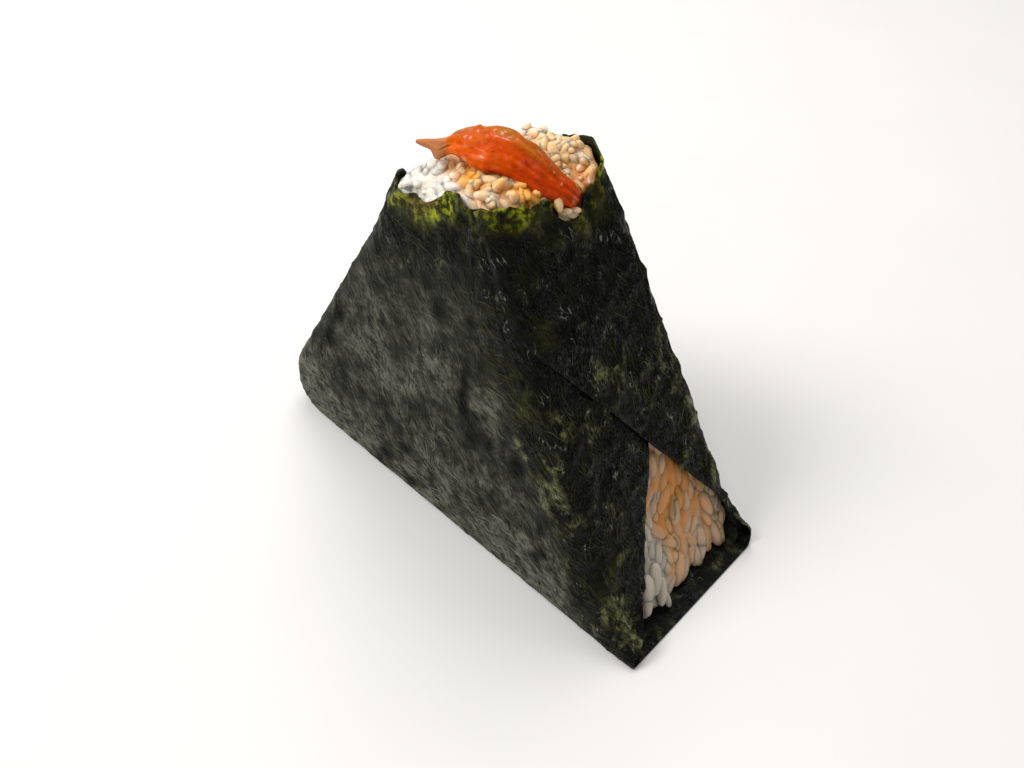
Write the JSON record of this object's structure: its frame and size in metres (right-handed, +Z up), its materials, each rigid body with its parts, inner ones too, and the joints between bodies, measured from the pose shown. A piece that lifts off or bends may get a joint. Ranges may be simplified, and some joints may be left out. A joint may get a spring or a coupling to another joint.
{
  "type": "kimchi onigiri",
  "caption": "Wedge-shaped rice ball standing on its narrow base, wrapped in a folded seaweed sheet that is open at the top and one lower corner, with a strip of kimchi through the rice.",
  "frame": {"origin": "middle of the base on the surface that it stands on, under the middle of the bounding box", "axes": "+Z up; X along the narrow base, with the open lower corner and the folded flaps at +X; the two large faces look along +Y and -Y"},
  "size_m": [0.0844, 0.0338, 0.0703],
  "materials": {
    "nori": "dry toasted seaweed with a faint sheen",
    "rice": "moist cooked grains",
    "kimchi": "wet and glossy"
  },
  "bodies": {
    "root": {"nori": "nori", "rice": "rice", "kimchi": "kimchi"}
  },
  "joints": []
}
